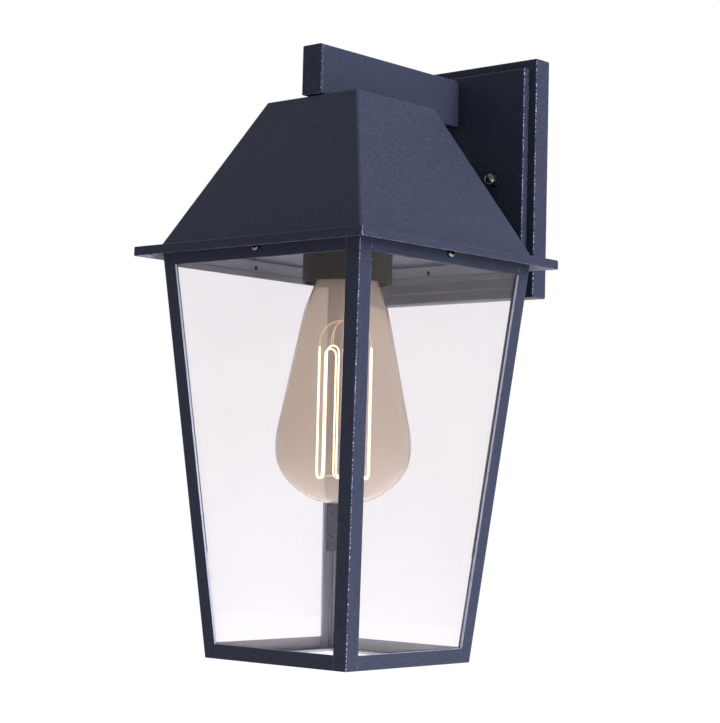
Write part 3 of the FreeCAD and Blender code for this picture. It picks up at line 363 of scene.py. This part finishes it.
def join_meshes(name, meshes):
    """One mesh made of several, with the first one's materials."""
    builder = bmesh.new()
    for mesh in meshes:
        builder.from_mesh(mesh)
    joined = bpy.data.meshes.new(name)
    builder.to_mesh(joined)
    builder.free()
    for material in meshes[0].materials:
        joined.materials.append(material)
    return joined


def new_thread_tree(name, material):
    """A threaded rod standing on Z = 0: a plain core with a helical ridge swept round it."""
    tree, sizes = new_tree(name, ("Radius", "Pitch", "Length", "Ridge"))
    both_ends = add_math(tree, "MULTIPLY", sizes["Ridge"], 2.0)
    ridge_length = add_math(tree, "SUBTRACT", sizes["Length"], both_ends)
    path_radius = add_math(tree, "SUBTRACT", sizes["Radius"], sizes["Ridge"])
    turns = add_math(tree, "DIVIDE", ridge_length, sizes["Pitch"])
    helix = add_node(tree, "GeometryNodeCurveSpiral", values={"Resolution": 24},
                     links={"Rotations": turns, "Start Radius": path_radius, "End Radius": path_radius,
                            "Height": ridge_length})
    section = add_node(tree, "GeometryNodeCurvePrimitiveCircle", values={"Resolution": 6},
                       links={"Radius": sizes["Ridge"]})
    ridge = add_node(tree, "GeometryNodeCurveToMesh", values={"Fill Caps": True},
                     links={"Curve": helix.outputs["Curve"], "Profile Curve": section.outputs["Curve"]})
    lift = add_node(tree, "ShaderNodeCombineXYZ", links={"Z": sizes["Ridge"]})
    raised = add_node(tree, "GeometryNodeTransform",
                      links={"Geometry": ridge.outputs["Mesh"], "Translation": lift.outputs["Vector"]})
    core = add_node(tree, "GeometryNodeMeshCylinder", values={"Vertices": 32},
                    links={"Radius": path_radius, "Depth": sizes["Length"]})
    half_length = add_math(tree, "MULTIPLY", sizes["Length"], 0.5)
    core_lift = add_node(tree, "ShaderNodeCombineXYZ", links={"Z": half_length})
    core_up = add_node(tree, "GeometryNodeTransform",
                       links={"Geometry": core.outputs["Mesh"], "Translation": core_lift.outputs["Vector"]})
    both = add_node(tree, "GeometryNodeJoinGeometry", links={"Geometry": raised.outputs["Geometry"]})
    tree.links.new(core_up.outputs["Geometry"], both.inputs["Geometry"])
    smooth = add_node(tree, "GeometryNodeSetShadeSmooth", links={"Geometry": both.outputs["Geometry"]})
    finish_tree(tree, smooth.outputs["Geometry"], material)
    return tree


stud_pitch = 0.7 * MM
stud_ridge = stud_pitch * 0.32
stud_low, stud_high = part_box("mounting_studs")
stud_radius = (stud_high.z - stud_low.z) / 2
stud_tree = new_thread_tree("stud_thread", zinc)
studs = []
for stud_x in (stud_low.x + stud_radius, stud_high.x - stud_radius):
    stud = grow(stud_tree, bpy.data.meshes.new("stud_seed"),
                {"Radius": stud_radius, "Pitch": stud_pitch, "Length": stud_high.y - stud_low.y,
                 "Ridge": stud_ridge})
    stud.transform(Matrix.Translation((stud_x, stud_high.y, 0)) @ Matrix.Rotation(math.pi / 2, 4, "X"))
    studs.append(stud)
threaded_studs = new_object("threaded_studs", join_meshes("threaded_studs", studs))
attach(threaded_studs, "lantern")
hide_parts("mounting_studs")


# ---- Cap nuts ------------------------------------------------------------------------------------
# Two round-headed steel nuts, turned with a thin collar, that hold the wall plate on its studs.
# Their gloss black lacquer shows the room as small sharp highlights.

lacquer_ripple = 1.2 * MM
lacquer_shade = 2 * MM
lacquer_relief = 0.02 * MM

black_lacquer, tree, place = new_material("gloss_black_lacquer")
lacquer_bumps = add_node(tree, "ShaderNodeBump", values={"Strength": 0.15, "Distance": lacquer_relief},
                         links={"Height": add_noise(tree, place, lacquer_ripple)})
show(tree, {"Roughness": 0.16, "Coat Weight": 0.6, "Coat Roughness": 0.08},
     {"Base Color": blend_colours(tree, add_noise(tree, place, lacquer_shade), "#050506", "#0c0d10"),
      "Normal": lacquer_bumps.outputs["Normal"]})
finish_parts(black_lacquer, "cap_nut_left", "cap_nut_right")


# ---- Ground screw --------------------------------------------------------------------------------
# A pan-head steel screw in the crossbar, for the earth wire. It is dipped in green lacquer, which
# pools unevenly and leaves a slight mottle.

green_lacquer, tree, place = new_material("green_dipping_lacquer")
show(tree, {"Roughness": 0.35},
     {"Base Color": blend_colours(tree, add_noise(tree, place, 1.5 * MM), "#1f6b3a", "#2c8148")})
finish_parts(green_lacquer, "ground_screw")


# ---- Cage screws ---------------------------------------------------------------------------------
# Four small pan-head screws of blackened steel, one in the middle of each side. The drive recess is
# drawn as a plain round well, because the heads are only a few millimetres across.

sharp_turn = math.radians(40)


def lathe(name, outline, material, segments=48):
    """A closed shape turned about Z from (radius, height) points; poles are single vertices."""
    builder = bmesh.new()
    rings = []
    for radius, height in outline:
        if radius <= 0:
            rings.append([builder.verts.new((0, 0, height))])
            continue
        rings.append([builder.verts.new((radius * math.cos(2 * math.pi * step / segments),
                                         radius * math.sin(2 * math.pi * step / segments), height))
                      for step in range(segments)])
    for lower, upper in zip(rings, rings[1:] + rings[:1]):
        for step in range(segments):
            corners = [lower[step % len(lower)], lower[(step + 1) % len(lower)],
                       upper[(step + 1) % len(upper)], upper[step % len(upper)]]
            corners = [v for index, v in enumerate(corners) if v not in corners[:index]]
            if len(corners) > 2:
                builder.faces.new(corners)
    bmesh.ops.recalc_face_normals(builder, faces=builder.faces)
    for face in builder.faces:
        face.smooth = True
    mesh = bpy.data.meshes.new(name)
    builder.to_mesh(mesh)
    builder.free()
    mesh.materials.append(material)
    mesh.set_sharp_from_angle(angle=sharp_turn)
    return mesh


screw_low, screw_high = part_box("cage_screws")
screw_reach = screw_high.x
screw_radius = (screw_high.z - screw_low.z) / 2
screw_height = (screw_high.z + screw_low.z) / 2
screw_head = 1.5 * MM
screw_shank = 2.5 * MM
shank_radius = screw_radius * 0.55
recess_depth = 0.9 * MM
recess_rim = screw_radius * 0.3
recess_floor = screw_radius * 0.24

head_outline = [(0, -screw_shank - screw_head), (shank_radius, -screw_shank - screw_head),
                (shank_radius, -screw_head), (screw_radius, -screw_head),
                (screw_radius, -screw_head * 0.55), (screw_radius * 0.92, -screw_head * 0.25),
                (screw_radius * 0.7, -screw_head * 0.08), (screw_radius * 0.5, 0), (recess_rim, 0),
                (recess_floor, -recess_depth), (0, -recess_depth)]
cage_screw = lathe("cage_screw", head_outline, black_lacquer, 24)

screw_tree, sizes = new_tree("ring_of_screws", ("Reach", "Height"))
ring = add_node(screw_tree, "GeometryNodeCurvePrimitiveCircle", values={"Resolution": 4},
                links={"Radius": sizes["Reach"]})
outward = add_node(screw_tree, "GeometryNodeInputPosition")
turn = add_node(screw_tree, "FunctionNodeAlignRotationToVector", {"axis": "Z"},
                links={"Vector": outward.outputs["Position"]})
placed = add_node(screw_tree, "GeometryNodeInstanceOnPoints",
                  links={"Points": ring.outputs["Curve"], "Instance": sizes["Geometry"],
                         "Rotation": turn.outputs["Rotation"]})
up = add_node(screw_tree, "ShaderNodeCombineXYZ", links={"Z": sizes["Height"]})
raised = add_node(screw_tree, "GeometryNodeTransform",
                  links={"Geometry": placed.outputs["Instances"], "Translation": up.outputs["Vector"]})
finish_tree(screw_tree, raised.outputs["Geometry"], black_lacquer)
screw_mesh = grow(screw_tree, cage_screw, {"Reach": screw_reach, "Height": screw_height})
screw_mesh.transform(Matrix.Translation((0, head_middle.y, 0)))
cage_screws = new_object("cage_pan_screws", screw_mesh)
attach(cage_screws, "lantern")
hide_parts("cage_screws")


# ---- Nipple, washers and nuts --------------------------------------------------------------------
# A threaded steel nipple that hangs the roof and the socket from the arm, the spacer between arm and
# roof, and the washers and nuts that clamp them, all in the crossbar's dull zinc.

finish_parts(zinc, "lamp_nipple", "arm_spacer", "nipple_washers", "nipple_nuts")


# ---- Panes ---------------------------------------------------------------------------------------
# Four tapered panes of clear float glass, cut and seamed, standing on the bottom ledges. A dark
# specular tint holds back the white room, which would whiten every pane. The rear and left panes
# carry a faint pale veil over what is seen through them, a painted reflection of the white room.

pane_ripple = 60 * MM
pane_relief = 0.1 * MM

pane_glass, tree, place = new_material("clear_float_glass")
ripple = add_noise(tree, place, pane_ripple)
waviness = add_node(tree, "ShaderNodeBump", values={"Strength": 0.2, "Distance": pane_relief},
                    links={"Height": ripple})
show(tree, {"Roughness": 0.0, "IOR": 1.52, "Transmission Weight": 1.0, "Specular Tint": linear("#38383a")},
     {"Base Color": blend_colours(tree, ripple, "#fbf9fa", "#faf8f9"), "Normal": waviness.outputs["Normal"]})
finish_parts(pane_glass, "pane_front", "pane_right")

# Rear and left panes pass only part of the light and show a pale base colour: a painted reflection of the
# room.
veiled_glass, tree, place = new_material("float_glass_painted_veil")
veil_noise = add_noise(tree, place, pane_ripple)
show(tree, {"Roughness": 0.0, "IOR": 1.52, "Transmission Weight": 0.92, "Specular Tint": linear("#38383a")},
     {"Base Color": blend_colours(tree, veil_noise, "#fbf9fd", "#fdfbfe")})
finish_parts(veiled_glass, "pane_rear", "pane_left")


# ---- Socket --------------------------------------------------------------------------------------
# A spun steel cup in dark bronze paint, and inside it the strap, the glazed porcelain body, two
# screws, the brass screw shell and the brass centre contact. The paint is nearly matt, and the
# glaze and the brass are bright.

bronze_paint, tree, place = new_material("dark_bronze_satin_paint")
show(tree, {"Roughness": 0.6, "Specular IOR Level": 0.05},
     {"Base Color": blend_colours(tree, add_noise(tree, place, 12 * MM, 0.0), "#24201c", "#2a2520")})
finish_parts(bronze_paint, "socket_cover")

glazed_porcelain, tree, place = new_material("white_glazed_porcelain")
show(tree, {"Roughness": 0.12},
     {"Base Color": blend_colours(tree, add_noise(tree, place, 5 * MM), "#e9e6dd", "#f2efe8")})
finish_parts(glazed_porcelain, "socket_body")

brass, tree, place = new_material("pressed_brass")
show(tree, {"Metallic": 1.0, "Roughness": 0.3},
     {"Base Color": blend_colours(tree, add_noise(tree, place, 3 * MM), "#b08d45", "#c9a45a")})
finish_parts(brass, "socket_shell", "socket_contact")
finish_parts(zinc, "socket_strap", "socket_screws")


# ---- Bulb glass ----------------------------------------------------------------------------------
# A pear-shaped bulb of blown glass with a smoky amber tint, sealed into its cap. The tint gathers to
# brown at the outline, where the eye looks along the wall. The IOR is far below the glass's own 1.5,
# because a thin wall bends the view very little.

smoke_cloud = 45 * MM
rim_onset = 0.46
rim_full = 0.66

bulb_tint, tree, place = new_material("smoke_tinted_blown_glass")
rim = add_node(tree, "ShaderNodeLayerWeight", values={"Blend": 0.25}).outputs["Facing"]
smoke = blend_colours(tree, add_noise(tree, place, smoke_cloud, 1.0), "#e4dad1", "#e8ddd0")
tinted = add_node(tree, "ShaderNodeMix", {"data_type": "RGBA"}, {7: linear("#7d5b38")},
                  {"Factor": scaled(tree, rim, rim_onset, rim_full), 6: smoke}).outputs[2]
show(tree, {"Roughness": 0.0, "IOR": 1.12, "Transmission Weight": 0.78}, {"Base Color": tinted})
finish_parts(bulb_tint, "bulb_glass")


# ---- Bulb cap ------------------------------------------------------------------------------------
# A screw cap of thin aluminium with a rolled thread, a black glass insulator and a solder button.
# The rolled sheet is bright with a faint grain, the insulator glassy, and the solder duller.

cap_low, cap_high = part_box("bulb_cap")
cap_radius = cap_high.x
cap_thread_pitch = 3.6 * MM
cap_skirt = 3.2 * MM
cap_chamfer = 1.6 * MM
cap_mouth = 7.5 * MM
cap_sheet = 0.5 * MM
cap_groove = 0.9 * MM
cap_ridge = 1.1 * MM

aluminium, tree, place = new_material("bright_rolled_aluminium")
rolled = scaled(tree, add_noise(tree, place, 1.5 * MM), 0, 1, 0.2, 0.38)
show(tree, {"Metallic": 1.0},
     {"Base Color": blend_colours(tree, add_noise(tree, place, 8 * MM), "#c4c6c8", "#d8d9da"),
      "Roughness": rolled})
cap_core = cap_radius - cap_groove
cap_height = cap_high.z - cap_low.z
cap_shell = lathe("cap_shell", [
    (cap_radius - cap_sheet, 0), (cap_radius, 0), (cap_radius, cap_skirt * 0.8), (cap_core, cap_skirt),
    (cap_core, cap_height - cap_chamfer), (cap_core - cap_chamfer, cap_height), (cap_mouth, cap_height),
    (cap_mouth, cap_height - cap_sheet), (cap_core - cap_chamfer, cap_height - cap_sheet),
    (cap_core - cap_sheet, cap_height - cap_chamfer), (cap_core - cap_sheet, cap_skirt),
    (cap_radius - cap_sheet, cap_skirt * 0.8)], aluminium, 64)
cap_thread = grow(new_thread_tree("cap_thread", aluminium), bpy.data.meshes.new("cap_seed"),
                  {"Radius": cap_radius, "Pitch": cap_thread_pitch,
                   "Length": cap_height - cap_skirt - cap_chamfer, "Ridge": cap_ridge})
cap_thread.transform(Matrix.Translation((0, 0, cap_skirt)))
cap_mesh = join_meshes("threaded_cap", [cap_shell, cap_thread])
cap_mesh.transform(Matrix.Translation((0, head_middle.y, cap_low.z)))
threaded_cap = new_object("threaded_bulb_cap", cap_mesh)
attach(threaded_cap, "bulb")
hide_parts("bulb_cap")

black_glass, tree, place = new_material("black_insulator_glass")
show(tree, {"Roughness": 0.08},
     {"Base Color": blend_colours(tree, add_noise(tree, place, 3 * MM), "#08080a", "#111114")})
finish_parts(black_glass, "bulb_insulator")
solder, tree, place = new_material("tinned_solder")
show(tree, {"Metallic": 1.0, "Roughness": 0.35},
     {"Base Color": blend_colours(tree, add_noise(tree, place, 1.5 * MM), "#a7a9ab", "#c3c4c5")})
finish_parts(solder, "bulb_contact")


# ---- Stem ----------------------------------------------------------------------------------------
# The clear glass stem sealed into the neck: a flare, a pinch that grips the wires, and a thin rod
# with a button at each end that carries the filament's supports.

stem_low, stem_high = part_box("bulb_stem")
stem_radius = stem_high.x
filament_low, filament_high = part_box("bulb_filament")
filament_top = filament_high.z
filament_bottom = filament_low.z
rod_radius = 1.0 * MM
pinch_end = filament_top + 14 * MM

stem_glass, tree, place = new_material("clear_stem_glass")
show(tree, {"Roughness": 0.02, "IOR": 1.5, "Transmission Weight": 1.0},
     {"Base Color": blend_colours(tree, add_noise(tree, place, 6 * MM), "#f3ece4", "#f8f4ee")})
stem_mesh = lathe("stem", [
    (0, stem_high.z), (stem_radius, stem_high.z), (stem_radius * 0.98, stem_high.z - 6 * MM),
    (stem_radius * 0.8, pinch_end + 7 * MM), (stem_radius * 0.68, pinch_end + 3 * MM),
    (stem_radius * 0.6, pinch_end), (rod_radius * 1.3, pinch_end - 2 * MM), (rod_radius, pinch_end - 4 * MM),
    (rod_radius, filament_bottom + 3 * MM), (rod_radius * 2.0, filament_bottom + 1.6 * MM),
    (rod_radius * 2.1, filament_bottom + 0.9 * MM), (rod_radius * 1.4, filament_bottom),
    (0, stem_low.z)], stem_glass, 40)
stem_mesh.transform(Matrix.Translation((0, head_middle.y, 0)))
stem = new_object("glass_stem", stem_mesh)
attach(stem, "bulb")
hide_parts("bulb_stem")


# ---- Filament ------------------------------------------------------------------------------------
# A glowing wire in upright loops, standing in a circle round the stem. It is drawn thicker than the
# wire, about as wide as its glare. Fine wires arch down from the pinch and out from the rod's end,
# with a faint painted glow. Both are kept from lighting the parts round them, which would only add noise.

filament_loops = 6
filament_inset = 0.4 * MM
filament_radius = filament_high.x - filament_inset
glare_radius = 0.4 * MM
loop_radius = filament_radius * math.sin(math.pi / 2 / filament_loops)
bend_steps = 8


def wire_tree(name, material):
    """A round wire swept along each spline of a curve."""
    tree, sizes = new_tree(name, ("Radius",))
    section = add_node(tree, "GeometryNodeCurvePrimitiveCircle", values={"Resolution": 10},
                       links={"Radius": sizes["Radius"]})
    swept = add_node(tree, "GeometryNodeCurveToMesh", values={"Fill Caps": True},
                     links={"Curve": sizes["Geometry"], "Profile Curve": section.outputs["Curve"]})
    smooth = add_node(tree, "GeometryNodeSetShadeSmooth", links={"Geometry": swept.outputs["Mesh"]})
    finish_tree(tree, smooth.outputs["Geometry"], material)
    return tree


def wire_paths(name, paths):
    """A curve with one run of straight segments through each list of points."""
    curve = bpy.data.curves.new(name, "CURVE")
    curve.dimensions = "3D"
    for points in paths:
        spline = curve.splines.new("POLY")
        spline.points.add(len(points) - 1)
        for target, point in zip(spline.points, points):
            target.co = (*point, 1)
    return curve


def around_stem(angle, radius, height):
    """A point round the bulb's axis."""
    return Vector((radius * math.cos(angle), head_middle.y + radius * math.sin(angle), height))


filament_path = []
for run in range(2 * filament_loops):
    angle = math.pi * run / filament_loops
    next_angle = angle + math.pi / filament_loops
    ends = [filament_top - loop_radius, filament_bottom + loop_radius]
    if run % 2:
        ends.reverse()
    filament_path += [around_stem(angle, filament_radius, height) for height in ends]
    if run == 2 * filament_loops - 1:
        break
    upright = 1 if run % 2 else -1
    start = filament_path[-1]
    following = around_stem(next_angle, filament_radius, start.z)
    for step in range(1, bend_steps):
        sweep = math.pi * step / bend_steps
        across = (1 - math.cos(sweep)) / 2
        filament_path.append(start.lerp(following, across)
                             + Vector((0, 0, upright * loop_radius * math.sin(sweep))))

glow, tree, place = new_material("glowing_carbon_filament")
hot = blend_colours(tree, add_noise(tree, place, 6 * MM), "#ffdfae", "#ffeccc")
show(tree, {"Roughness": 0.6, "Emission Strength": 4.5}, {"Base Color": hot, "Emission Color": hot})
filament = new_object("glowing_filament", grow(wire_tree("filament_wire", glow),
                                               wire_paths("filament_path", [filament_path]),
                                               {"Radius": glare_radius}))
filament.visible_diffuse = False
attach(filament, "bulb")
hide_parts("bulb_filament")

support_radius = 0.26 * MM
arch_height = 13 * MM
arch_fullness = 0.8
foot_bow = 1.2 * MM
pinch_inlet = stem_radius * 0.35
pinch_outlet = stem_radius * 0.3
support_steps = 14
support_paths = []
for bend in range(2 * filament_loops - 1):
    angle = math.pi * (bend + 0.5) / filament_loops
    reach = filament_radius * math.cos(math.pi / 2 / filament_loops)
    path = []
    for step in range(support_steps + 1):
        part = step / support_steps
        if bend % 2:
            radius = rod_radius + (reach - rod_radius) * math.sin(part * math.pi / 2)
            height = filament_top + arch_height * math.cos(part * math.pi / 2) ** arch_fullness
        else:
            radius = rod_radius + (reach - rod_radius) * part
            height = filament_bottom + foot_bow * math.sin(part * math.pi)
        path.append(around_stem(angle, radius, height))
    support_paths.append(path)
for run in (0, 2 * filament_loops - 1):
    angle = math.pi * run / filament_loops
    path = []
    for step in range(support_steps + 1):
        part = step / support_steps
        radius = rod_radius + (filament_radius - rod_radius) * math.sin(part * math.pi / 2)
        height = filament_top - loop_radius + (arch_height + loop_radius) * math.cos(part * math.pi / 2)
        path.append(around_stem(angle, radius, height))
    support_paths.append(path)
    support_paths.append([around_stem(angle, pinch_inlet, stem_high.z - 1 * MM),
                          around_stem(angle, pinch_outlet, pinch_end)])

# The supports glow faintly in a warm colour: a painted glow, as if lit by the filament.
support_wire, tree, place = new_material("nickel_support_wire_painted_glow")
painted_glow = blend_colours(tree, add_noise(tree, place, 3 * MM), "#d8b48a", "#eccfa8")
show(tree, {"Metallic": 1.0, "Roughness": 0.35, "Emission Strength": 0.7},
     {"Base Color": painted_glow, "Emission Color": painted_glow})
supports = new_object("arched_supports", grow(wire_tree("support_wire", support_wire),
                                              wire_paths("support_paths", support_paths),
                                              {"Radius": support_radius}))
supports.visible_diffuse = False
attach(supports, "bulb")
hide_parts("filament_supports")


# ---- Leads and connectors ------------------------------------------------------------------------
# One black and one white insulated lead, and the ribbed twist-on connectors of moulded plastic that
# join them to the supply. All are satin plastics, slightly uneven in colour.

for node, name, first, second in (("lead_live", "black_lead_jacket", "#0c0c0d", "#141416"),
                                  ("lead_neutral", "white_lead_jacket", "#dcdad4", "#e8e6e0")):
    jacket, tree, place = new_material(name)
    shade = blend_colours(tree, add_noise(tree, place, 2 * MM), first, second)
    show(tree, {"Roughness": 0.45}, {"Base Color": shade})
    finish_parts(jacket, node)

connector_low, connector_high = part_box("wire_connectors")
connector_radius = (connector_high.y - connector_low.y) / 2
connector_length = connector_high.z - connector_low.z
connector_ribs = 16
rib_depth = 0.35 * MM
rib_start = 0.2 * MM
rib_end = connector_length * 0.75
connector_y = (connector_low.y + connector_high.y) / 2

moulded_plastic, tree, place = new_material("moulded_connector_plastic")
show(tree, {"Roughness": 0.4},
     {"Base Color": blend_colours(tree, add_noise(tree, place, 1 * MM), "#c2501b", "#cf5a22")})
connector_outline = [(0, 0), (connector_radius * 0.62, 0), (connector_radius * 0.72, 0.8 * MM),
                     (connector_radius * 0.9, connector_length * 0.7),
                     (connector_radius, connector_length * 0.78),
                     (connector_radius, connector_length), (0, connector_length)]
shells = []
for side in (-1, 1):
    shell = lathe("connector", connector_outline, moulded_plastic, connector_ribs * 4)
    for vertex in shell.vertices:
        radius = math.hypot(vertex.co.x, vertex.co.y)
        if radius > connector_radius * 0.5 and rib_start < vertex.co.z < rib_end:
            angle = math.atan2(vertex.co.y, vertex.co.x)
            inset = rib_depth * (1 - math.cos(angle * connector_ribs)) / 2
            vertex.co.x *= (radius - inset) / radius
            vertex.co.y *= (radius - inset) / radius
    middle_x = (connector_high.x - connector_radius) * side
    shell.transform(Matrix.Translation((middle_x, connector_y, connector_low.z)))
    shells.append(shell)
connectors = new_object("ribbed_connectors", join_meshes("ribbed_connectors", shells))
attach(connectors, "lantern")
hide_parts("wire_connectors")
